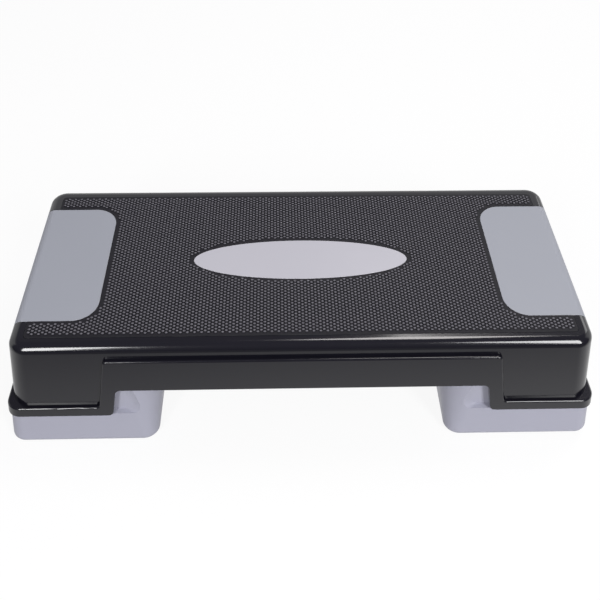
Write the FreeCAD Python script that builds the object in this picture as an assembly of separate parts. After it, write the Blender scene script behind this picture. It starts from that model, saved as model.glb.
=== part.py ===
"""Two-level aerobic step: a hollow deck with an anti-slip tread on a pair of plug-in risers.

Millimetres, +X along the length, -Y the front, +Z up.
The origin is on the floor under the middle of the deck.
"""
import FreeCAD, Part
import math
import os

# Deck: size at its bottom rim, height over that rim, and the slope of its walls
deck_length = 680.0
deck_depth = 300.0
deck_height = 100.0
draft_angle = 7.7
tread_corner_radius = 20.0
nose_radius = 11.0

# Walls of the deck shell, with the ribs and the two girders under its tread
side_wall = 3.2
end_wall = 6.0
tread_wall = 6.0
inner_nose_radius = 5.0
rib_thickness = 2.4
rib_depth = 8.0
girder_depth = 20.0
rib_inset = 60.0
cross_rib_pairs = 7
long_rib_pairs = 2
girder_row = 1

# Raised band of the deck: rim, legs and central panels
band_proud = 5.4
band_edge_radius = 2.2
band_corner_radius = 5.0
band_plan_radius = 16.0
rim_height = 12.4
leg_strip_width = 16.7
leg_length = 122.2
leg_lean_angle = 10.6
arch_height = 40.0
arch_corner_radius = 7.5
leg_toe_radius = 7.0
panel_drop = 16.4

# Anti-slip mat and badge, let into the tread
mat_end_inset = 35.0
mat_side_inset = 33.3
mat_corner_radius = 5.0
mat_recess = 2.0
mat_thickness = 2.5
mat_gap = 0.3
badge_length = 256.0
badge_depth = 64.6
badge_thickness = 2.3
badge_gap = 0.4

# Grey end panels and the screws that hold them
panel_length = 109.5
panel_side_inset = 57.3
panel_corner_radius = 28.0
panel_foot_radius = 16.0
panel_thickness = 2.4
panel_end_drop = 46.0
panel_gap = 0.3
panel_seat_gap = 0.1
boss_diameter = 8.0
boss_gap = 0.3
tower_wall = 2.6
tower_height = 8.0
tower_root_share = 0.25
screw_diameter = 3.5
screw_fit = 0.05
screw_length = 9.0
screw_head_diameter = 12.0
screw_head_height = 2.4

# Risers: lift under the rim, length at the arch, lean of the inboard face, plug and seat pocket
riser_lift = 50.0
riser_inset = 2.5
riser_wall = 3.0
riser_bottom_radius = 7.0
riser_length = 182.0
riser_lean_angle = 8.5
riser_plan_radius = 16.0
riser_corner_low_radius = 15.5
riser_corner_arch_radius = 46.0
arch_gap = 0.5
plug_gap = 1.0
plug_head_gap = 12.0
plug_top_radius = 5.0
pocket_length = 169.0
pocket_slant = 37.0
pocket_corner_radius = 20.0
pocket_root_radius = 8.0
blow_hole_diameter = 8.0

# Rubber feet under the risers
foot_diameter = 24.0
foot_height = 4.0
foot_proud = 1.5
foot_gap = 0.2
foot_edge_radius = 0.8
foot_socket_wall = 2.5
foot_inner_inset = 122.0
foot_outer_inset = 28.0
foot_side_inset = 32.0

# Rubber pads in the rim of the deck
pad_length = 40.0
pad_width = 4.4
pad_depth = 2.0
pad_proud = 0.8
pad_gap = 0.3
pad_rim_inset = 2.8
pad_end_inset = 72.0

# Overrun of every cut
overrun = 10.0

# Levels and places worked out from the sizes above
half_length = deck_length / 2
half_depth = deck_depth / 2
rim_z = riser_lift
tread_z = riser_lift + deck_height
rim_top_z = rim_z + rim_height
arch_z = rim_z + arch_height
panel_top_z = tread_z - panel_drop
arch_half = half_length - leg_length
mat_floor_z = tread_z - mat_recess
shell_top_z = tread_z - tread_wall
rib_floor_z = shell_top_z - rib_depth
girder_floor_z = shell_top_z - girder_depth
plug_top_z = girder_floor_z - plug_head_gap
cross_rib_pitch = (half_length - rib_inset) / cross_rib_pairs
long_rib_pitch = (half_depth - rib_inset) / long_rib_pairs
pocket_inner_x = half_length - pocket_length
pad_x = half_length - pad_end_inset
draft = math.tan(math.radians(draft_angle))
leg_lean = math.tan(math.radians(leg_lean_angle))
lean = math.tan(math.radians(riser_lean_angle))
vector = FreeCAD.Vector
up = vector(0, 0, 1)
sides = {"left": -1, "right": 1}
rows = {"front": -1, "rear": 1}


def box(low, high):
    """A box between two corners."""
    size = high - low
    return Part.makeBox(size.x, size.y, size.z, low)


def rod(diameter, low, high):
    """An upright cylinder between two points."""
    return Part.makeCylinder(diameter / 2, high.z - low.z, low, up)


def rounded_outline(corners):
    """A closed wire through corner points, each given with its own radius."""
    count = len(corners)
    edges = []
    starts = []
    ends = []
    for index, (point, radius) in enumerate(corners):
        back = (corners[index - 1][0] - point).normalize()
        ahead = (corners[(index + 1) % count][0] - point).normalize()
        half = back.getAngle(ahead) / 2
        reach = radius / math.tan(half)
        starts.append(point + back * reach)
        ends.append(point + ahead * reach)
        if radius > 0:
            inward = (back + ahead).normalize()
            middle = point + inward * (radius / math.sin(half) - radius)
            edges.append(Part.Arc(starts[-1], middle, ends[-1]).toShape())
    for index in range(count):
        edges.append(Part.LineSegment(ends[index - 1], starts[index]).toShape())
    return Part.Wire(Part.__sortEdges__(edges))


def prism(wire, travel):
    """A solid made by moving a flat outline along a vector."""
    return Part.Face(wire).extrude(travel)


def front_prism(corners):
    """A prism right through the depth, from (x, z, radius) corners seen from the front."""
    reach = half_depth + riser_lift * draft + overrun
    points = [(vector(x, -reach, z), radius) for x, z, radius in corners]
    return prism(rounded_outline(points), vector(0, 2 * reach, 0))


def plan_outline(corners, level):
    """A flat outline at one height, from (x, y, radius) corners seen from above."""
    return rounded_outline([(vector(x, y, level), radius) for x, y, radius in corners])


def wall_at(half, grow, level):
    """How far out a sloping wall of the deck stands at one height, grown from the recessed wall."""
    return half - band_proud + grow + (rim_z - level) * draft


def skirt(grow_x, grow_y, low_z, high_z, radius):
    """A solid with the deck's sloping walls and round corners, grown from the recessed wall."""
    outlines = []
    for level in (low_z, high_z):
        x = wall_at(half_length, grow_x, level)
        y = wall_at(half_depth, grow_y, level)
        corners = [(-x, -y, radius), (x, -y, radius), (x, y, radius), (-x, y, radius)]
        outlines.append(plan_outline(corners, level))
    return Part.makeLoft(outlines, True, True)


def edges_at(shape, level):
    """The edges that lie flat at one height."""
    tiny = shape.BoundBox.ZLength * 1e-6
    found = []
    for edge in shape.Edges:
        if abs(edge.BoundBox.ZMin - level) < tiny and abs(edge.BoundBox.ZMax - level) < tiny:
            found.append(edge)
    return found


def rounded_skirt(grow, low_z, high_z, radius):
    """A skirt with its top edge rounded."""
    solid = skirt(grow, grow, low_z, high_z, tread_corner_radius + grow)
    return solid.makeFillet(radius, edges_at(solid, high_z))


def plan_prism(corners, low_z, high_z):
    """An upright prism from (x, y, radius) corners seen from above."""
    return prism(plan_outline(corners, low_z), vector(0, 0, high_z - low_z))


def oval(length, depth, low_z, high_z):
    """An upright oval plate."""
    ring = Part.Ellipse(vector(0, 0, low_z), length / 2, depth / 2).toShape()
    return prism(Part.Wire(ring), vector(0, 0, high_z - low_z))


def mirrored(shape, side):
    """A right-hand shape as it is, or turned into the left-hand one."""
    if sides[side] > 0:
        return shape
    return shape.mirror(vector(0, 0, 0), vector(1, 0, 0))


def leg_x(level):
    """The arch side of a leg at one height: the legs lean out towards the rim."""
    return arch_half - (level - rim_z) * leg_lean


# Raised band with its rounded edges
def make_band():
    far = half_length + overrun
    right = [
        (leg_x(arch_z), arch_z, arch_corner_radius),
        (leg_x(rim_z), rim_z, leg_toe_radius),
        (far, rim_z, 0),
        (far, rim_top_z, 0),
        (leg_x(rim_top_z) + leg_strip_width, rim_top_z, band_corner_radius),
        (leg_x(panel_top_z) + leg_strip_width, panel_top_z, band_corner_radius),
    ]
    left = [(-x, z, radius) for x, z, radius in reversed(right)]
    grown = skirt(band_proud, band_proud, rim_z - overrun, tread_z, band_plan_radius)
    band = front_prism(right + left).common(grown)
    tiny = rim_height * 1e-6
    outer = grown.Shells[0]
    rounded = []
    for edge in band.Edges:
        bounds = edge.BoundBox
        reach = max(-bounds.XMin, bounds.XMax)
        above_arch = bounds.ZMin > arch_z + tiny or reach > arch_half + tiny
        middle = edge.valueAt((edge.FirstParameter + edge.LastParameter) / 2)
        on_outer = outer.distToShape(Part.Vertex(middle))[0] < tiny
        if bounds.ZMin > rim_top_z - tiny and above_arch and on_outer:
            rounded.append(edge)
    return band.makeFillet(band_edge_radius, rounded)


# Arch under each long side and all below the rim, as one cut through the deck
def make_arch_cut():
    far = half_length + overrun
    right = [
        (leg_x(arch_z), arch_z, arch_corner_radius),
        (leg_x(rim_z), rim_z, leg_toe_radius),
        (far, rim_z, 0),
        (far, rim_z - 2 * overrun, 0),
    ]
    return front_prism(right + [(-x, z, radius) for x, z, radius in reversed(right)])


# Hollow of the deck, with the panels hollowed from behind
def make_deck_hollow():
    main = skirt(-end_wall, -side_wall, rim_z - 2 * overrun, shell_top_z, tread_corner_radius - end_wall)
    main = main.makeFillet(inner_nose_radius, edges_at(main, shell_top_z))
    reach_x = leg_x(panel_top_z) + leg_strip_width - side_wall
    reach_y = deck_depth
    low = vector(-reach_x, -reach_y, arch_z + side_wall)
    high = vector(reach_x, reach_y, panel_top_z - side_wall)
    behind = band_proud - side_wall
    panels = skirt(behind, behind, rim_z, tread_z, tread_corner_radius).common(box(low, high))
    return main, panels


# Ribs and girders under the tread, cut to the hollow
def make_ribs(hollow):
    half = rib_thickness / 2
    high = tread_z
    plates = []
    for step in range(-cross_rib_pairs, cross_rib_pairs + 1):
        x = step * cross_rib_pitch
        low = vector(x - half, -half_depth, rib_floor_z)
        plates.append(box(low, vector(x + half, half_depth, high)))
    for step in range(-long_rib_pairs, long_rib_pairs + 1):
        y = step * long_rib_pitch
        floor_z = girder_floor_z if abs(step) == girder_row else rib_floor_z
        low = vector(-half_length, y - half, floor_z)
        plates.append(box(low, vector(half_length, y + half, high)))
    grid = plates[0].multiFuse(plates[1:])
    return grid.common(hollow)


# Outline of the right end panel, grown by a gap
def panel_region(gap):
    far = half_length + overrun
    half = half_depth - panel_side_inset + gap
    inner = half_length - panel_length - gap
    foot_z = tread_z - panel_end_drop - gap
    top = tread_z + overrun
    plan = [
        (far, -half, 0),
        (far, half, 0),
        (inner, half, panel_corner_radius + gap),
        (inner, -half, panel_corner_radius + gap),
    ]
    end = [
        (vector(0, -half, top), 0),
        (vector(0, half, top), 0),
        (vector(0, half, foot_z), panel_foot_radius + gap),
        (vector(0, -half, foot_z), panel_foot_radius + gap),
    ]
    return plan_prism(plan, rim_z, top).common(prism(rounded_outline(end), vector(far, 0, 0)))


def skin(depth):
    """The outer skin of the deck, down to a depth."""
    outer = rounded_skirt(0, rim_z, tread_z, nose_radius)
    inner = rounded_skirt(-depth, rim_z - overrun, tread_z - depth, nose_radius - depth)
    return outer.cut(inner)


# Screws stand in the outer rib bays under each panel
screw_places = []
for bay in (cross_rib_pairs - 1, cross_rib_pairs):
    for sign_y in rows.values():
        x = (bay + 1 / 2) * cross_rib_pitch
        y = sign_y * (long_rib_pairs - 1 / 2) * long_rib_pitch
        screw_places.append(vector(x, y, 0))
tower_foot_z = shell_top_z - tower_height
boss_hole_diameter = boss_diameter + 2 * boss_gap


def make_end_panel():
    panel = skin(panel_thickness).common(panel_region(0))
    bore = screw_diameter + 2 * screw_fit
    for place in screw_places:
        boss_low = place + up * (tower_foot_z + boss_gap)
        bore_high = place + up * (tower_foot_z + screw_length + screw_fit)
        panel = panel.fuse(rod(boss_diameter, boss_low, place + up * (tread_z - panel_thickness / 2)))
        panel = panel.cut(rod(bore, boss_low - up * overrun, bore_high))
    return panel


def make_panel_screws():
    screws = []
    for place in screw_places:
        seat = place + up * tower_foot_z
        shank = rod(screw_diameter, seat, seat + up * screw_length)
        screws.append(shank.fuse(rod(screw_head_diameter, seat - up * screw_head_height, seat)))
    return Part.makeCompound(screws)


def pad_shape(gap, low_z, high_z):
    """Upright blocks of the four rim pads, grown by a gap."""
    blocks = {}
    half = pad_length / 2 + gap
    outer = half_depth - pad_rim_inset + gap
    inner = half_depth - pad_rim_inset - pad_width - gap
    for side, sign_x in sides.items():
        for row, sign_y in rows.items():
            near = vector(sign_x * pad_x - half, min(sign_y * inner, sign_y * outer), low_z)
            far = vector(sign_x * pad_x + half, max(sign_y * inner, sign_y * outer), high_z)
            blocks[side, row] = box(near, far)
    return blocks


def make_mat(gap, low_z, high_z):
    """The mat's plate, or its recess when grown by a gap."""
    half_x = half_length - mat_end_inset + gap
    half_y = half_depth - mat_side_inset + gap
    signs = ((-1, -1), (1, -1), (1, 1), (-1, 1))
    corners = [(sx * half_x, sy * half_y, mat_corner_radius) for sx, sy in signs]
    return plan_prism(corners, low_z, high_z)


def make_deck():
    body = rounded_skirt(0, rim_z - overrun, tread_z, nose_radius)
    hollow, panel_hollow = make_deck_hollow()
    deck = body.cut(make_arch_cut()).fuse(make_band())
    deck = deck.cut(hollow).cut(panel_hollow)
    deck = deck.fuse(make_ribs(hollow))
    deck = deck.cut(make_mat(mat_gap, mat_floor_z, tread_z + overrun))
    seat = skin(panel_thickness + panel_seat_gap).common(panel_region(panel_gap))
    for side, sign in sides.items():
        deck = deck.cut(mirrored(seat, side))
        for place in screw_places:
            foot = vector(place.x * sign, place.y, tower_foot_z)
            tower = boss_hole_diameter + 2 * tower_wall
            root = tower_height + tread_wall * tower_root_share
            deck = deck.fuse(rod(tower, foot, foot + up * root))
            deck = deck.cut(rod(boss_hole_diameter, foot - up * overrun, foot + up * deck_height))
    for block in pad_shape(pad_gap, rim_z - overrun, rim_z + pad_depth).values():
        deck = deck.cut(block)
    return deck.removeSplitter()


# Seat pocket of a riser: the leg of the deck stands in it
def pocket_outline(inner_x, depth_y, radius, inset):
    far = half_length + overrun
    low = riser_lift - inset
    high = tread_z + overrun
    near = inner_x - inset
    corners = [
        (vector(near, depth_y, high), 0),
        (vector(near, depth_y, low), radius + inset),
        (vector(far, depth_y, low), 0),
        (vector(far, depth_y, high), 0),
    ]
    return rounded_outline(corners)


def make_pocket(inset):
    front = half_depth
    plug_grow = side_wall + plug_gap + band_proud
    back = front - plug_grow - inset - arch_height * draft
    deep_x = pocket_inner_x + pocket_slant
    root = pocket_outline(deep_x, -back, pocket_root_radius, inset)
    middle = prism(root, vector(0, 2 * back, 0))
    cuts = [middle]
    for sign in rows.values():
        outer = pocket_outline(pocket_inner_x, sign * front, pocket_corner_radius, inset)
        inner = pocket_outline(deep_x, sign * back, pocket_root_radius, inset)
        cuts.append(Part.makeLoft([outer, inner], True, True))
    return cuts


def riser_block(inset):
    """The right riser without its pocket and plug: the corners of its leaning face widen upwards."""
    grow = band_proud - riser_inset - inset
    outer_radius = riser_plan_radius - inset
    widening = (riser_corner_arch_radius - riser_corner_low_radius) / arch_z
    face_x = half_length - riser_length + inset / math.cos(math.radians(riser_lean_angle))
    low = foot_proud + inset
    outlines = []
    for level in (low, tread_z):
        far = wall_at(half_length, grow, level)
        near = face_x + (arch_z - level) * lean
        y = wall_at(half_depth, grow, level)
        radius = riser_corner_low_radius + widening * level - inset
        corners = [(near, -y, radius), (far, -y, outer_radius), (far, y, outer_radius), (near, y, radius)]
        outlines.append(plan_outline(corners, level))
    block = Part.makeLoft(outlines, True, True)
    return block.makeFillet(riser_bottom_radius - inset, edges_at(block, low))


def make_plug(inset, low_z, high_z):
    """The head of both risers, a gap inside the deck's walls."""
    grow_x = -end_wall - plug_gap - inset
    grow_y = -side_wall - plug_gap - inset
    return skirt(grow_x, grow_y, low_z, high_z, tread_corner_radius + grow_x)


def riser_form(inset):
    """The right riser's outer form, or its hollow when set in by the wall."""
    high = plug_top_z - inset
    plug = make_plug(inset, 0, high)
    plug = plug.makeFillet(plug_top_radius - inset, edges_at(plug, high))
    top_low = vector(0, -deck_depth, arch_z - arch_gap - inset)
    top_high = vector(deck_length, deck_depth, tread_z + overrun)
    form = riser_block(inset)
    for cutter in [box(top_low, top_high)] + make_pocket(inset):
        form = form.cut(cutter.cut(plug))
    return form


# Places of the four feet under the right riser
foot_inner_x = half_length - foot_inner_inset
foot_outer_x = half_length - foot_outer_inset
foot_places = {}
for row, sign_y in rows.items():
    y = sign_y * (half_depth - foot_side_inset)
    foot_places[row + "_inner"] = vector(foot_inner_x, y, 0)
    foot_places[row + "_outer"] = vector(foot_outer_x, y, 0)


def make_riser():
    riser = riser_form(0).cut(riser_form(riser_wall))
    socket = foot_diameter + 2 * foot_gap
    boss = socket + 2 * foot_socket_wall
    for place in foot_places.values():
        boss_top = place + up * (foot_height + foot_socket_wall)
        riser = riser.fuse(rod(boss, place + up * (foot_proud + riser_wall / 2), boss_top))
    for place in foot_places.values():
        riser = riser.cut(rod(socket, place - up * overrun, place + up * foot_height))
    middle_x = (foot_inner_x + foot_outer_x) / 2
    hole_low = vector(middle_x, 0, plug_top_z - riser_wall - overrun)
    riser = riser.cut(rod(blow_hole_diameter, hole_low, vector(middle_x, 0, plug_top_z + overrun)))
    pads = pad_shape(2 * pad_gap, riser_lift - pad_proud - pad_gap, riser_lift + overrun)
    for row in rows:
        riser = riser.cut(pads["right", row].common(pocket_floor()))
    return riser.removeSplitter()


def pocket_floor():
    """The space just over the shoulder, outside the plug."""
    low = riser_lift - pad_proud - overrun
    outside = skirt(band_proud, band_proud, low, tread_z, band_plan_radius)
    return outside.cut(make_plug(0, low - overrun, tread_z + overrun))


def make_foot():
    disc = rod(foot_diameter, vector(0, 0, 0), up * foot_height)
    return disc.makeFillet(foot_edge_radius, edges_at(disc, 0))


def make_all():
    nodes = {"deck_shell": make_deck()}
    mat = make_mat(0, mat_floor_z, mat_floor_z + mat_thickness)
    mat = mat.cut(oval(badge_length + 2 * badge_gap, badge_depth + 2 * badge_gap, 0, 2 * tread_z))
    for side in sides:
        mat = mat.cut(mirrored(panel_region(panel_gap), side))
    nodes["anti_slip_mat"] = mat
    nodes["oval_badge"] = oval(badge_length, badge_depth, mat_floor_z, mat_floor_z + badge_thickness)
    panel = make_end_panel()
    screws = make_panel_screws()
    riser = make_riser()
    foot = make_foot()
    for side in sides:
        nodes[side + "_end_panel"] = mirrored(panel, side)
        nodes[side + "_panel_screws"] = mirrored(screws, side)
        nodes[side + "_riser"] = mirrored(riser, side)
        for place_name, place in foot_places.items():
            placed = foot.translated(vector(sides[side] * place.x, place.y, 0))
            nodes[side + "_riser_" + place_name + "_foot"] = placed
    for (side, row), pad in pad_shape(0, rim_z - pad_proud, rim_z + pad_depth).items():
        nodes[side + "_" + row + "_rim_pad"] = pad
    return nodes


os.makedirs("parts", exist_ok=True)
for name, shape in make_all().items():
    shape.exportStep("parts/" + name + ".step")
    print(name, shape.isValid(), len(shape.Solids), round(shape.Volume, 1))
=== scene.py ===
"""Looks of a two-level aerobic step round its CAD frame. Metres, +X along the length, -Y the front."""
import bmesh
import bpy
import math
from mathutils import Matrix, Vector


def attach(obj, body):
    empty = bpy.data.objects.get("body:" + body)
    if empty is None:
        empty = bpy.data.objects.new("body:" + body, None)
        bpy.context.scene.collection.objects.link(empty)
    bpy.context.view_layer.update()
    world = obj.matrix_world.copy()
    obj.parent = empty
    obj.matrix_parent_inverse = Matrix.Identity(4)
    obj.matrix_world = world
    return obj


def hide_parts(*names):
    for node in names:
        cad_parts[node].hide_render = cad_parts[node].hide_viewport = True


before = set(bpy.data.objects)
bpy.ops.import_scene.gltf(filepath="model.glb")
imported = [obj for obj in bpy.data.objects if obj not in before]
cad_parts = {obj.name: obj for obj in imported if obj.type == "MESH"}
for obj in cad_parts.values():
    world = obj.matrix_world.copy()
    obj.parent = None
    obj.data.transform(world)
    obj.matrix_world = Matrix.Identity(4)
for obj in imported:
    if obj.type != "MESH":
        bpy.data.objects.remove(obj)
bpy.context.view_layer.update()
scene = bpy.context.scene
scene.view_settings.view_transform = "Standard"


# Risers: two pale lilac-grey blocks that lift the deck to its second level, blow-moulded in
# polypropylene with soft corners. A hollow head plugs into the deck from below, and the leg
# of the deck stands in the scooped seat beside it.
riser_edge_radius = 0.0016
riser_colour = (0.420, 0.422, 0.500, 1.0)
riser_shade = (0.398, 0.400, 0.474, 1.0)
riser_worn = (0.44, 0.44, 0.50, 1.0)
riser_bead_low = 0.006
riser_bead_high = 0.0915


def welded(node):
    """A copy of a CAD node's mesh with its loose triangles joined and its flat faces whole."""
    shape = bmesh.new()
    shape.from_mesh(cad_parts[node].data)
    weld_distance = 1e-6
    flat_angle = math.radians(0.5)
    bmesh.ops.remove_doubles(shape, verts=shape.verts, dist=weld_distance)
    bmesh.ops.dissolve_limit(shape, angle_limit=flat_angle, verts=shape.verts, edges=shape.edges)
    return shape


def ease(shape, edges, radius, segments=3):
    """Rounds edges to a radius, and returns the narrow faces that this makes."""
    made = bmesh.ops.bevel(shape, geom=edges, offset=radius, offset_type="OFFSET", segments=segments,
                           profile=0.5, affect="EDGES", clamp_overlap=True)
    return made["faces"]


def ridges(shape, least_angle):
    """The edges that stand out, by more than an angle in degrees."""
    least = math.radians(least_angle)
    return [edge for edge in shape.edges if edge.is_manifold and edge.calc_face_angle_signed() > least]


def finished(shape, name, material, worn=(), round_at=None, crease_angle=40):
    """A piece from a worked mesh, shaded smooth up to a crease angle. At each corner the larger faces
    lead, so that flat faces stay flat. Faces on a known round take its own normals, and the worn
    ones are marked for the material."""
    crease = math.radians(crease_angle)
    wear = shape.loops.layers.float.new("wear")
    for face in worn:
        for loop in face.loops:
            loop[wear] = 1.0
    areas = {face: face.calc_area() for face in shape.faces}
    on_round = set()
    if round_at:
        on_round = {face for face in shape.faces if round_at(face.calc_center_median())}
    joined = {edge: edge.is_manifold and edge.calc_face_angle() < crease for edge in shape.edges}
    normals = []
    for face in shape.faces:
        face.smooth = True
        for loop in face.loops:
            fan = [face]
            for near in fan:
                for edge in near.edges:
                    if joined[edge] and loop.vert in edge.verts:
                        fan.extend(other for other in edge.link_faces if other not in fan)
            turned = round_at(loop.vert.co) if round_at else None
            total = Vector()
            for near in fan:
                total += areas[near] * (turned if turned and near in on_round else near.normal)
            normals.append(total.normalized())
    mesh = bpy.data.meshes.new(name)
    shape.to_mesh(mesh)
    shape.free()
    mesh.normals_split_custom_set(normals)
    mesh.materials.append(material)
    piece = bpy.data.objects.new(name, mesh)
    scene.collection.objects.link(piece)
    return piece


def wire(tree, kind, settings=None, **sockets):
    """A node with its settings and its inputs: a link from another node's socket, or a plain value."""
    node = tree.nodes.new(kind)
    for name, value in (settings or {}).items():
        setattr(node, name, value)
    for name, value in sockets.items():
        socket = next(s for s in node.inputs if s.name == name.replace("_", " ") and s.enabled)
        if isinstance(value, bpy.types.NodeSocket):
            tree.links.new(value, socket)
        else:
            socket.default_value = value
    return node


def result(node):
    """The output that a node of many kinds has in use."""
    return next(socket for socket in node.outputs if socket.enabled)


def calc(tree, operation, *terms):
    """A sum, product or other step on links and plain values."""
    node = wire(tree, "ShaderNodeMath", {"operation": operation})
    for socket, term in zip(node.inputs, terms):
        if isinstance(term, bpy.types.NodeSocket):
            tree.links.new(term, socket)
        else:
            socket.default_value = term
    return node.outputs["Value"]


def mixed(tree, share, first, second):
    """A colour between two colours."""
    return result(wire(tree, "ShaderNodeMix", {"data_type": "RGBA"}, Factor=share, A=first, B=second))


def noise(tree, place, scale, detail, roughness):
    """A cloudy pattern from 0 to 1."""
    node = wire(tree, "ShaderNodeTexNoise", Vector=place, Scale=scale, Detail=detail, Roughness=roughness)
    return node.outputs["Fac"]


def ramp(tree, value, start, full):
    """A share from 0 to 1, as a value goes from its start to its full measure."""
    return wire(tree, "ShaderNodeMapRange", Value=value, From_Min=start, From_Max=full).outputs["Result"]


def new_group(name, inputs, outputs):
    """An empty shader group with named inputs, each with its usual value, and named outputs."""
    group = bpy.data.node_groups.new(name, "ShaderNodeTree")
    for label, usual in inputs.items():
        socket = group.interface.new_socket(label, in_out="INPUT", socket_type="NodeSocketFloat")
        socket.default_value = usual
    for label in outputs:
        group.interface.new_socket(label, in_out="OUTPUT", socket_type="NodeSocketFloat")
    return group, group.nodes.new("NodeGroupInput").outputs, group.nodes.new("NodeGroupOutput").inputs


# Moulded grain: the fine sparks of a textured tool, slow drifts of tone, faint rub marks that
# change the gloss, and edges rubbed in patches
grain, given, put = new_group(
    "moulded_grain",
    {"Grain scale": 900.0, "Drift scale": 9.0, "Rub scale": 60.0, "Patch scale": 45.0, "Edge": 0.0,
     "Roughness": 0.4, "Roughness drift": 0.06},
    ["Tone", "Roughness", "Height", "Worn"])
rub_stretch = (1.0, 1.0, 0.25)
rub_start = 0.55
rub_full = 0.75
rub_weight = 0.5
patch_start = 0.38
patch_full = 0.68
mean_tone = 0.5
worn_roughness = 0.08
place = wire(grain, "ShaderNodeTexCoord").outputs["Object"]
sparks = noise(grain, place, given["Grain scale"], detail=2.0, roughness=0.6)
drift = noise(grain, place, given["Drift scale"], detail=3.0, roughness=0.55)
stretched = wire(grain, "ShaderNodeMapping", Vector=place, Scale=rub_stretch).outputs["Vector"]
rub = noise(grain, stretched, given["Rub scale"], detail=6.0, roughness=0.7)
rubbed = ramp(grain, rub, rub_start, rub_full)
patch = noise(grain, place, given["Patch scale"], detail=4.0, roughness=0.6)
worn = calc(grain, "MULTIPLY", ramp(grain, patch, patch_start, patch_full), given["Edge"])
uneven = calc(grain, "SUBTRACT", calc(grain, "MULTIPLY_ADD", rubbed, rub_weight, drift), mean_tone)
rough = calc(grain, "MULTIPLY_ADD", uneven, given["Roughness drift"], given["Roughness"])
grain.links.new(drift, put["Tone"])
grain.links.new(calc(grain, "MULTIPLY_ADD", worn, worn_roughness, rough), put["Roughness"])
grain.links.new(sparks, put["Height"])
grain.links.new(worn, put["Worn"])


def moulded(name, colour, shade, worn_colour, roughness, bump, gloss=0.5, **scales):
    """A moulded plastic or rubber that drifts between two near tones, grained, and paler where worn."""
    grain_depth = 0.0002
    material = bpy.data.materials.new(name)
    material.use_nodes = True
    tree = material.node_tree
    skin = tree.nodes["Principled BSDF"]
    edge = wire(tree, "ShaderNodeAttribute", {"attribute_name": "wear"}).outputs["Fac"]
    surface = wire(tree, "ShaderNodeGroup", {"node_tree": grain}, Roughness=roughness, Edge=edge, **scales)
    fresh = mixed(tree, surface.outputs["Tone"], shade, colour)
    aged = mixed(tree, surface.outputs["Worn"], fresh, worn_colour)
    relief = wire(tree, "ShaderNodeBump", Strength=bump, Distance=grain_depth,
                  Height=surface.outputs["Height"])
    tree.links.new(aged, skin.inputs["Base Color"])
    tree.links.new(surface.outputs["Roughness"], skin.inputs["Roughness"])
    tree.links.new(relief.outputs["Normal"], skin.inputs["Normal"])
    skin.inputs["Specular IOR Level"].default_value = gloss
    return material


def sealed_outside(shape):
    """Takes away the inside of a hollow moulding and closes its blow hole with a plug."""
    hole_radius = 0.0042
    wall = 0.0031
    level_limit = 0.5
    top = max(vert.co.z for vert in shape.verts)
    faces = list(shape.faces)
    ring = [v.co.x for v in shape.verts if abs(v.co.y) < hole_radius and v.co.z > top - wall]
    hole_x = sum(ring) / len(ring)
    walls = set()
    for face in faces:
        centre = face.calc_center_median()
        if math.hypot(centre.x - hole_x, centre.y) < hole_radius and abs(face.normal.z) < level_limit:
            walls.add(face)
    start = max(faces, key=lambda face: abs(face.calc_center_median().x))
    kept = {start}
    queue = [start]
    while queue:
        face = queue.pop()
        for edge in face.edges:
            for other in edge.link_faces:
                if other not in kept and other not in walls:
                    kept.add(other)
                    queue.append(other)
    inside = [face for face in faces if face not in kept and face not in walls]
    bmesh.ops.delete(shape, geom=inside, context="FACES")
    rim = [edge for edge in shape.edges if edge.is_boundary]
    bmesh.ops.holes_fill(shape, edges=rim, sides=0)
    bmesh.ops.recalc_face_normals(shape, faces=shape.faces)


riser_plastic = moulded("riser_plastic", riser_colour, riser_shade, riser_worn, roughness=0.40, bump=0.06)
for side in ("left", "right"):
    block = welded(side + "_riser")
    sealed_outside(block)
    outline = [edge for edge in ridges(block, least_angle=35)
               if all(riser_bead_low < vert.co.z < riser_bead_high for vert in edge.verts)]
    bead = ease(block, outline, riser_edge_radius)
    riser = finished(block, side + "_riser_block", riser_plastic, bead)
    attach(riser, side + "_riser_body")
    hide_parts(side + "_riser")


# Feet: eight round discs moulded in black rubber, with a rounded lower edge, pushed into the
# sockets under the risers.
foot_colour = (0.020, 0.020, 0.021, 1.0)
foot_shade = (0.014, 0.014, 0.015, 1.0)
foot_worn = (0.035, 0.035, 0.036, 1.0)
foot_rubber = moulded("foot_rubber", foot_colour, foot_shade, foot_worn, roughness=0.68, bump=0.15)
for side in ("left", "right"):
    for place_name in ("front_inner", "front_outer", "rear_inner", "rear_outer"):
        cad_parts[side + "_riser_" + place_name + "_foot"].data.materials[0] = foot_rubber


# Deck shell: the black top, injection-moulded in one piece with sloping walls, a round nose,
# a raised band for rim and legs, and ribs under the tread.
deck_edge_radius = 0.0004
deck_colour = (0.0064, 0.0061, 0.0105, 1.0)
deck_shade = (0.0052, 0.0050, 0.0085, 1.0)
deck_worn = (0.030, 0.030, 0.031, 1.0)
tread_level = 0.150
tread_edge_level = tread_level - 0.0002
wall_half_length = 0.32108
wall_half_depth = 0.13108
wall_slope = math.tan(math.radians(7.7))
nose_radius = 0.011
nose_level = tread_level - nose_radius
nose_half_length = 0.31147
nose_half_depth = 0.12147
nose_corner_radius = 0.0089
wall_tolerance = 0.0005
nose_tolerance = 0.0003


def on_outside(point):
    """True on the outer walls of the deck, with the band that stands proud of them."""
    lower = (tread_level - point.z) * wall_slope - wall_tolerance
    return abs(point.x) > wall_half_length + lower or abs(point.y) > wall_half_depth + lower


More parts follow.
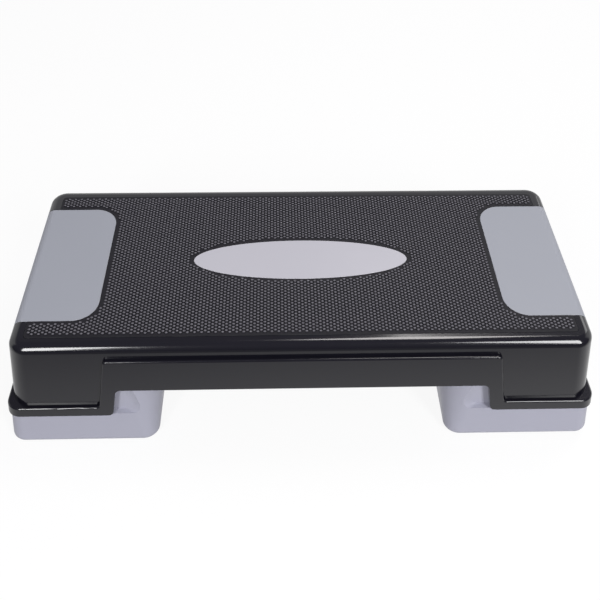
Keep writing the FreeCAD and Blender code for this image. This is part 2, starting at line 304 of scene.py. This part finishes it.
def nose_normal(point):
    """The normal of the deck's round nose, for a point that lies on it."""
    straight_x = nose_half_length - nose_corner_radius
    straight_y = nose_half_depth - nose_corner_radius
    past_x = max(abs(point.x) - straight_x, 0.0)
    past_y = max(abs(point.y) - straight_y, 0.0)
    if not past_x and not past_y:
        return None
    out = math.hypot(past_x, past_y)
    over = Vector((out - nose_corner_radius, point.z - nose_level))
    if abs(over.length - nose_radius) > nose_tolerance or over.x < 0 or over.y < 0:
        return None
    over.normalize()
    normal_x = math.copysign(past_x / out, point.x) * over.x
    normal_y = math.copysign(past_y / out, point.y) * over.x
    return Vector((normal_x, normal_y, over.y))


deck_plastic = moulded("deck_plastic", deck_colour, deck_shade, deck_worn, roughness=0.13, bump=0.03,
                       gloss=0.65)
shell = welded("deck_shell")
lips = []
for edge in ridges(shell, least_angle=60):
    ends = [vert.co for vert in edge.verts]
    if all(co.z > tread_edge_level or on_outside(co) for co in ends):
        lips.append(edge)
lip_faces = ease(shell, lips, deck_edge_radius)
deck = finished(shell, "deck_top", deck_plastic, lip_faces, nose_normal)
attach(deck, "deck")
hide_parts("deck_shell")


# Rim pads: four rubber strips pushed into slots in the rim, for use at the low level, where the
# deck stands on the floor without its risers.
for side in ("left", "right"):
    for row in ("front", "rear"):
        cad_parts[side + "_" + row + "_rim_pad"].data.materials[0] = foot_rubber


# Anti-slip mat: black rubber let into the tread and glued, pressed with some five thousand
# oval studs in a three-way pattern, with a plain margin along every edge. The tops of the
# studs are painted paler than the ground between them, a painted highlight.
mat_edge_radius = 0.00035
mat_colour = (0.0060, 0.0056, 0.0100, 1.0)
mat_shade = (0.0050, 0.0047, 0.0082, 1.0)
mat_worn = (0.030, 0.030, 0.032, 1.0)
# Colour of the stud tops: a painted highlight, paler than the rubber's own colour
stud_top_highlight_colour = (0.136, 0.132, 0.151, 1.0)
stud_polish = 0.24
crown_low_share = 0.25
crown_high_share = 0.85
level_tolerance = 1e-5
stud_pitch = 0.0077
stud_row_pitch = 0.00456
stud_margin = 0.0046
badge_margin = 0.0034
badge_area = (0.16, 0.05)
stud_radius = 0.0019
stud_stretch = 1.28
stud_top_radius = 0.0007
stud_field_length = 0.606
stud_field_depth = 0.228
stud_height = 0.0014

mat_rubber = moulded("mat_rubber", mat_colour, mat_shade, mat_worn, roughness=0.60, bump=0.12, gloss=0.28)
plate = welded("anti_slip_mat")
mat_top = max(vert.co.z for vert in plate.verts)
brink = [edge for edge in ridges(plate, least_angle=60)
         if all(vert.co.z > mat_top - level_tolerance for vert in edge.verts)]
mat = finished(plate, "tread_mat", mat_rubber, ease(plate, brink, mat_edge_radius))

# Painted highlight, with more gloss: the height over the mat's plain face picks out the crowns of the studs
tree = mat_rubber.node_tree
skin = tree.nodes["Principled BSDF"]
level = wire(tree, "ShaderNodeSeparateXYZ", Vector=wire(tree, "ShaderNodeTexCoord").outputs["Object"])
crown_share = ramp(tree, level.outputs["Z"], mat_top + crown_low_share * stud_height,
                   mat_top + crown_high_share * stud_height)
ground = skin.inputs["Base Color"].links[0].from_socket
tree.links.new(mixed(tree, crown_share, ground, stud_top_highlight_colour), skin.inputs["Base Color"])
dull = skin.inputs["Roughness"].links[0].from_socket
polish = calc(tree, "MULTIPLY", crown_share, stud_polish)
tree.links.new(calc(tree, "SUBTRACT", dull, polish), skin.inputs["Roughness"])

studs = bpy.data.node_groups.new("stud_field", "GeometryNodeTree")
studs.interface.new_socket("Geometry", in_out="INPUT", socket_type="NodeSocketGeometry")
stud_sizes = {"Pitch": stud_pitch, "Row pitch": stud_row_pitch, "Margin": stud_margin,
              "Badge margin": badge_margin, "Badge area X": badge_area[0], "Badge area Y": badge_area[1],
              "Field length": stud_field_length, "Field depth": stud_field_depth, "Top level": mat_top,
              "Stud radius": stud_radius, "Stud top radius": stud_top_radius, "Stud height": stud_height,
              "Stud stretch": stud_stretch}
for label in stud_sizes:
    studs.interface.new_socket(label, in_out="INPUT", socket_type="NodeSocketFloat")
studs.interface.new_socket("Material", in_out="INPUT", socket_type="NodeSocketMaterial")
studs.interface.new_socket("Geometry", in_out="OUTPUT", socket_type="NodeSocketGeometry")
given = studs.nodes.new("NodeGroupInput").outputs
put = studs.nodes.new("NodeGroupOutput").inputs


def vector_calc(tree, operation, first, second):
    """A step on a linked vector and a second one, linked or plain."""
    node = wire(tree, "ShaderNodeVectorMath", {"operation": operation})
    tree.links.new(first, node.inputs[0])
    if isinstance(second, bpy.types.NodeSocket):
        tree.links.new(second, node.inputs[1])
    else:
        node.inputs[1].default_value = second
    return result(node)


def compared(tree, operation, first, second):
    """True where one linked number is more or less than another."""
    node = wire(tree, "FunctionNodeCompare", {"data_type": "FLOAT", "operation": operation})
    tree.links.new(first, node.inputs[0])
    if isinstance(second, bpy.types.NodeSocket):
        tree.links.new(second, node.inputs[1])
    else:
        node.inputs[1].default_value = second
    return node.outputs["Result"]


# Places of the studs: two lattices, the second moved by half a step both ways
columns = calc(studs, "FLOOR", calc(studs, "DIVIDE", given["Field length"], given["Pitch"]))
lines = calc(studs, "FLOOR", calc(studs, "DIVIDE", given["Field depth"], given["Row pitch"]))
lattice = wire(studs, "GeometryNodeMeshGrid",
               Size_X=calc(studs, "MULTIPLY", columns, given["Pitch"]),
               Size_Y=calc(studs, "MULTIPLY", lines, given["Row pitch"]),
               Vertices_X=calc(studs, "ADD", columns, 1.0),
               Vertices_Y=calc(studs, "ADD", lines, 1.0))
half_step = wire(studs, "ShaderNodeCombineXYZ",
                 X=calc(studs, "MULTIPLY", given["Pitch"], 0.5),
                 Y=calc(studs, "MULTIPLY", given["Row pitch"], 0.5))
between = wire(studs, "GeometryNodeTransform", Geometry=lattice.outputs["Mesh"],
               Translation=half_step.outputs["Vector"])
all_places = studs.nodes.new("GeometryNodeJoinGeometry")
studs.links.new(lattice.outputs["Mesh"], all_places.inputs[0])
studs.links.new(between.outputs["Geometry"], all_places.inputs[0])
lift = wire(studs, "ShaderNodeCombineXYZ", Z=given["Top level"])
lifted = wire(studs, "GeometryNodeSetPosition", Geometry=all_places.outputs["Geometry"],
              Offset=lift.outputs["Vector"])

# Studs stand only over the mat, and not within the margin of its edges
here = wire(studs, "GeometryNodeInputPosition").outputs["Position"]
ray_start = 0.01
ray_reach = 0.011
least_rise = 0.3
above = vector_calc(studs, "ADD", here, (0.0, 0.0, ray_start))
over_mat = wire(studs, "GeometryNodeRaycast", Source_Position=above, Ray_Direction=(0.0, 0.0, -1.0),
                Ray_Length=ray_reach)
studs.links.new(given["Geometry"], over_mat.inputs["Target Geometry"])
facing = wire(studs, "GeometryNodeInputNormal").outputs["Normal"]
rise = wire(studs, "ShaderNodeSeparateXYZ", Vector=facing).outputs["Z"]
flat = compared(studs, "GREATER_THAN", calc(studs, "ABSOLUTE", rise), least_rise)
edge_walls = wire(studs, "GeometryNodeDeleteGeometry", {"domain": "FACE"}, Geometry=given["Geometry"],
                  Selection=flat)
nearest = wire(studs, "GeometryNodeProximity", {"target_element": "FACES"}, Sample_Position=here)
studs.links.new(edge_walls.outputs["Geometry"], nearest.inputs[0])
spot = wire(studs, "ShaderNodeSeparateXYZ", Vector=here).outputs
by_badge_x = calc(studs, "LESS_THAN", calc(studs, "ABSOLUTE", spot["X"]), given["Badge area X"])
by_badge_y = calc(studs, "LESS_THAN", calc(studs, "ABSOLUTE", spot["Y"]), given["Badge area Y"])
by_badge = calc(studs, "MULTIPLY", by_badge_x, by_badge_y)
less = calc(studs, "SUBTRACT", given["Badge margin"], given["Margin"])
margin = calc(studs, "MULTIPLY_ADD", by_badge, less, given["Margin"])
near_edge = compared(studs, "LESS_THAN", nearest.outputs["Distance"], margin)
off_mat = wire(studs, "FunctionNodeBooleanMath", {"operation": "NOT"})
studs.links.new(over_mat.outputs["Is Hit"], off_mat.inputs[0])
unwanted = wire(studs, "FunctionNodeBooleanMath", {"operation": "OR"})
studs.links.new(near_edge, unwanted.inputs[0])
studs.links.new(off_mat.outputs["Boolean"], unwanted.inputs[1])
wanted = wire(studs, "GeometryNodeDeleteGeometry", {"domain": "POINT"}, Geometry=lifted.outputs["Geometry"],
              Selection=unwanted.outputs["Boolean"])

# One stud: a low dome, pressed from a cone
cone = wire(studs, "GeometryNodeMeshCone", {"fill_type": "NGON"}, Vertices=6, Side_Segments=2,
            Radius_Top=given["Stud top radius"], Radius_Bottom=given["Stud radius"],
            Depth=given["Stud height"])
spread = vector_calc(studs, "MULTIPLY", here, (1.0, 1.0, 0.0))
out = wire(studs, "ShaderNodeVectorMath", {"operation": "LENGTH"})
studs.links.new(spread, out.inputs[0])
share = calc(studs, "POWER", calc(studs, "DIVIDE", out.outputs["Value"], given["Stud radius"]), 2.0)
dome = calc(studs, "MULTIPLY", calc(studs, "SUBTRACT", 1.0, share), given["Stud height"])
crown = vector_calc(studs, "ADD", spread, wire(studs, "ShaderNodeCombineXYZ", Z=dome).outputs["Vector"])
domed = wire(studs, "GeometryNodeSetPosition", Geometry=cone.outputs["Mesh"], Position=crown)
oval_scale = wire(studs, "ShaderNodeCombineXYZ", X=given["Stud stretch"], Y=1.0, Z=1.0).outputs["Vector"]
oval_stud = wire(studs, "GeometryNodeTransform", Geometry=domed.outputs["Geometry"], Scale=oval_scale)
soft = wire(studs, "GeometryNodeSetShadeSmooth", Geometry=oval_stud.outputs["Geometry"])
many = wire(studs, "GeometryNodeInstanceOnPoints", Points=wanted.outputs["Geometry"],
            Instance=soft.outputs["Geometry"])
real = wire(studs, "GeometryNodeRealizeInstances", Geometry=many.outputs["Instances"])
painted = wire(studs, "GeometryNodeSetMaterial", Geometry=real.outputs["Geometry"],
               Material=given["Material"])
whole = studs.nodes.new("GeometryNodeJoinGeometry")
studs.links.new(painted.outputs["Geometry"], whole.inputs[0])
studs.links.new(given["Geometry"], whole.inputs[0])
studs.links.new(whole.outputs["Geometry"], put["Geometry"])

pressed = mat.modifiers.new("studs", "NODES")
pressed.node_group = studs
for item in studs.interface.items_tree:
    if item.in_out == "INPUT" and item.name in stud_sizes:
        pressed[item.identifier] = stud_sizes[item.name]
    if item.name == "Material":
        pressed[item.identifier] = mat_rubber
graph = bpy.context.evaluated_depsgraph_get()
plain = bpy.data.meshes.new_from_object(mat.evaluated_get(graph), preserve_all_data_layers=True,
                                        depsgraph=graph)
plain.name = mat.name
mat.modifiers.clear()
mat.data = plain
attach(mat, "deck")
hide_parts("anti_slip_mat")


# Badge: a pale oval plate of satin plastic let into the mat and glued, with a rounded edge and a
# bare face.
badge_colour = (0.500, 0.495, 0.540, 1.0)
badge_shade = (0.480, 0.475, 0.520, 1.0)
badge_worn = (0.56, 0.56, 0.60, 1.0)
badge_edge_radius = 0.0005
badge_plastic = moulded("badge_plastic", badge_colour, badge_shade, badge_worn, roughness=0.34, bump=0.05)
oval = welded("oval_badge")
badge_top = max(vert.co.z for vert in oval.verts)
brink = [edge for edge in ridges(oval, least_angle=60)
         if all(vert.co.z > badge_top - level_tolerance for vert in edge.verts)]
badge = finished(oval, "badge_plate", badge_plastic, ease(oval, brink, badge_edge_radius))
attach(badge, "deck")
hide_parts("oval_badge")


# End panels: two grey caps that wrap over the ends of the tread, moulded in matt plastic with
# eased edges, and held by screws from below.
panel_edge_radius = 0.0005
panel_colour = (0.325, 0.340, 0.382, 1.0)
panel_shade = (0.308, 0.322, 0.362, 1.0)
panel_worn = (0.42, 0.43, 0.46, 1.0)
panel_nose_x = 0.31
panel_plastic = moulded("panel_plastic", panel_colour, panel_shade, panel_worn, roughness=0.52, bump=0.10)
for side in ("left", "right"):
    cap = welded(side + "_end_panel")
    brink = []
    for edge in ridges(cap, least_angle=60):
        ends = [vert.co for vert in edge.verts]
        if all(co.z > tread_edge_level or on_outside(co) or abs(co.x) > panel_nose_x for co in ends):
            brink.append(edge)
    brink_faces = ease(cap, brink, panel_edge_radius)
    panel = finished(cap, side + "_end_cap", panel_plastic, brink_faces, nose_normal)
    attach(panel, "deck")
    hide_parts(side + "_end_panel")


# Panel screws: zinc-plated self-tapping screws, driven up through the towers under the tread into
# the bosses of the end panels.
zinc_pale = (0.66, 0.66, 0.68, 1.0)
zinc_dull = (0.46, 0.46, 0.47, 1.0)
screw_steel = bpy.data.materials.new("screw_steel")
screw_steel.use_nodes = True
tree = screw_steel.node_tree
steel = tree.nodes["Principled BSDF"]
steel.inputs["Metallic"].default_value = 1.0
plating = wire(tree, "ShaderNodeGroup", {"node_tree": grain}, Roughness=0.33, Drift_scale=180.0)
tree.links.new(mixed(tree, plating.outputs["Tone"], zinc_dull, zinc_pale), steel.inputs["Base Color"])
tree.links.new(plating.outputs["Roughness"], steel.inputs["Roughness"])
for side in ("left", "right"):
    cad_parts[side + "_panel_screws"].data.materials[0] = screw_steel


# Stage: a pale floor with a white sheet on it under the step, which the black walls mirror, in a dim
# room with a pale backdrop. The floor is clear from below, so that the underside can be seen.
floor_half = 6.0
floor_gap = 0.0003
floor_white = 0.90
seen_pale = (0.97, 0.97, 0.97, 1.0)
floor_pale = (0.16, 0.16, 0.16, 1.0)
sheet_pale = (0.40, 0.40, 0.40, 1.0)
sheet_front = -0.305
sheet_blend = 0.135
# The sheet's glow seen in reflections drops towards the left: painted shade
sheet_dull_x = -0.32
sheet_bright_x = 0.0
sheet_dull_share = 0.62
floor_mesh = bpy.data.meshes.new("floor")
floor_shape = bmesh.new()
bmesh.ops.create_grid(floor_shape, x_segments=1, y_segments=1, size=floor_half)
floor_shape.to_mesh(floor_mesh)
floor_shape.free()
floor = bpy.data.objects.new("floor", floor_mesh)
scene.collection.objects.link(floor)
floor.location.z = -floor_gap
floor_paint = bpy.data.materials.new("floor_paint")
floor_paint.use_nodes = True
floor_mesh.materials.append(floor_paint)
tree = floor_paint.node_tree
tree.nodes.remove(tree.nodes["Principled BSDF"])
spot = wire(tree, "ShaderNodeSeparateXYZ", Vector=wire(tree, "ShaderNodeTexCoord").outputs["Object"])
on_sheet = ramp(tree, spot.outputs["Y"], sheet_front - sheet_blend, sheet_front + sheet_blend)
ray = wire(tree, "ShaderNodeLightPath").outputs
floor_tone = mixed(tree, ray["Is Camera Ray"], mixed(tree, on_sheet, floor_pale, sheet_pale), seen_pale)
matt = wire(tree, "ShaderNodeBsdfDiffuse", Color=floor_tone)
white = wire(tree, "ShaderNodeEmission", Color=(1.0, 1.0, 1.0, 1.0), Strength=1.0)
mirrored = calc(tree, "ADD", ray["Is Glossy Ray"], ray["Is Transmission Ray"])
# Painted shade: the mirrored sheet glows less towards the left
painted_shade_fade = wire(tree, "ShaderNodeMapRange", Value=spot.outputs["X"], From_Min=sheet_dull_x,
              From_Max=sheet_bright_x, To_Min=sheet_dull_share).outputs["Result"]
mirrored_sheet = calc(tree, "MULTIPLY", mirrored, calc(tree, "MULTIPLY", on_sheet, painted_shade_fade))
seen = calc(tree, "MINIMUM", calc(tree, "ADD", ray["Is Camera Ray"], mirrored_sheet), 1.0)
lit = wire(tree, "ShaderNodeMixShader")
tree.links.new(calc(tree, "MULTIPLY", seen, floor_white), lit.inputs["Fac"])
tree.links.new(matt.outputs["BSDF"], lit.inputs[1])
tree.links.new(white.outputs["Emission"], lit.inputs[2])
clear = wire(tree, "ShaderNodeBsdfTransparent", Color=(1.0, 1.0, 1.0, 1.0))
one_way = wire(tree, "ShaderNodeMixShader")
tree.links.new(wire(tree, "ShaderNodeNewGeometry").outputs["Backfacing"], one_way.inputs["Fac"])
tree.links.new(lit.outputs["Shader"], one_way.inputs[1])
tree.links.new(clear.outputs["BSDF"], one_way.inputs[2])
tree.links.new(one_way.outputs["Shader"], tree.nodes["Material Output"].inputs["Surface"])

backdrop_white = (0.95, 0.95, 0.95, 1.0)
backdrop_top = 0.74
backdrop_fade = 0.60
backdrop_side = 0.1
room_low = (0.130, 0.127, 0.148, 1.0)
room_high = (0.215, 0.209, 0.245, 1.0)
world = bpy.data.worlds.new("studio")
scene.world = world
world.use_nodes = True
tree = world.node_tree
outward = wire(tree, "ShaderNodeTexCoord").outputs["Generated"]
way = wire(tree, "ShaderNodeSeparateXYZ", Vector=outward).outputs
room = mixed(tree, ramp(tree, way["Z"], 0.0, 1.0), room_low, room_high)
ray = wire(tree, "ShaderNodeLightPath").outputs
behind = ramp(tree, way["Y"], -backdrop_side, backdrop_side)
mirrored = calc(tree, "ADD", ray["Is Glossy Ray"], ray["Is Transmission Ray"])
mirrored = calc(tree, "MULTIPLY", mirrored, behind)
low = ramp(tree, way["Z"], backdrop_top, backdrop_fade)
pale = calc(tree, "MULTIPLY", calc(tree, "ADD", ray["Is Camera Ray"], mirrored), low)
tree.links.new(mixed(tree, pale, room, backdrop_white), tree.nodes["Background"].inputs["Color"])


# Lamps: one soft box overhead, towards the back, a strip on each side of the camera, and a weak
# one behind on the right.
lamp_aim = (0.0, 0.0, 0.1)
lamp_white = (1.0, 1.0, 1.0)
overhead_warm = (1.0, 0.97, 0.95)


def soft_light(name, place, width, height, power, colour=lamp_white):
    """A rectangular soft light that faces the step."""
    lamp = bpy.data.lights.new(name, "AREA")
    lamp.shape = "RECTANGLE"
    lamp.size = width
    lamp.size_y = height
    lamp.energy = power
    lamp.color = colour
    holder = bpy.data.objects.new(name, lamp)
    scene.collection.objects.link(holder)
    holder.location = place
    aim = Vector(lamp_aim) - Vector(place)
    holder.rotation_euler = aim.to_track_quat("-Z", "Y").to_euler()


soft_light("overhead", (0.55, 0.88, 2.3), width=0.72, height=1.05, power=21.5, colour=overhead_warm)
soft_light("left_strip", (-1.0, -1.98, 1.52), width=0.40, height=1.3, power=28.0)
soft_light("right_strip", (1.34, -1.92, 1.74), width=0.65, height=1.65, power=48.0)
soft_light("back_right", (2.3, 1.9, 1.9), width=1.2, height=1.2, power=9.0)


# Camera: in front and above, as the picture was taken, with its angles fitted to the edges of the
# deck and to the pattern of the studs.
camera_place = (-0.0254935, -0.6541898, 0.812939)
camera_yaw = 0.0371
camera_pitch = 0.7669
camera_roll = -0.0166
lens = bpy.data.cameras.new("camera")
camera = bpy.data.objects.new("camera", lens)
scene.collection.objects.link(camera)
scene.camera = camera
level_ahead = math.cos(camera_pitch)
ahead = Vector((math.sin(camera_yaw) * level_ahead, math.cos(camera_yaw) * level_ahead,
                -math.sin(camera_pitch)))
level_right = Vector((math.cos(camera_yaw), -math.sin(camera_yaw), 0.0))
level_down = ahead.cross(level_right)
right = math.cos(camera_roll) * level_right + math.sin(camera_roll) * level_down
down = math.cos(camera_roll) * level_down - math.sin(camera_roll) * level_right
turn = Matrix((right, -down, -ahead)).transposed()
camera.matrix_world = Matrix.Translation(camera_place) @ turn.to_4x4()
lens.sensor_width = 36.0
lens.lens = 46.411
lens.shift_y = -0.1
lens.clip_start = 0.01
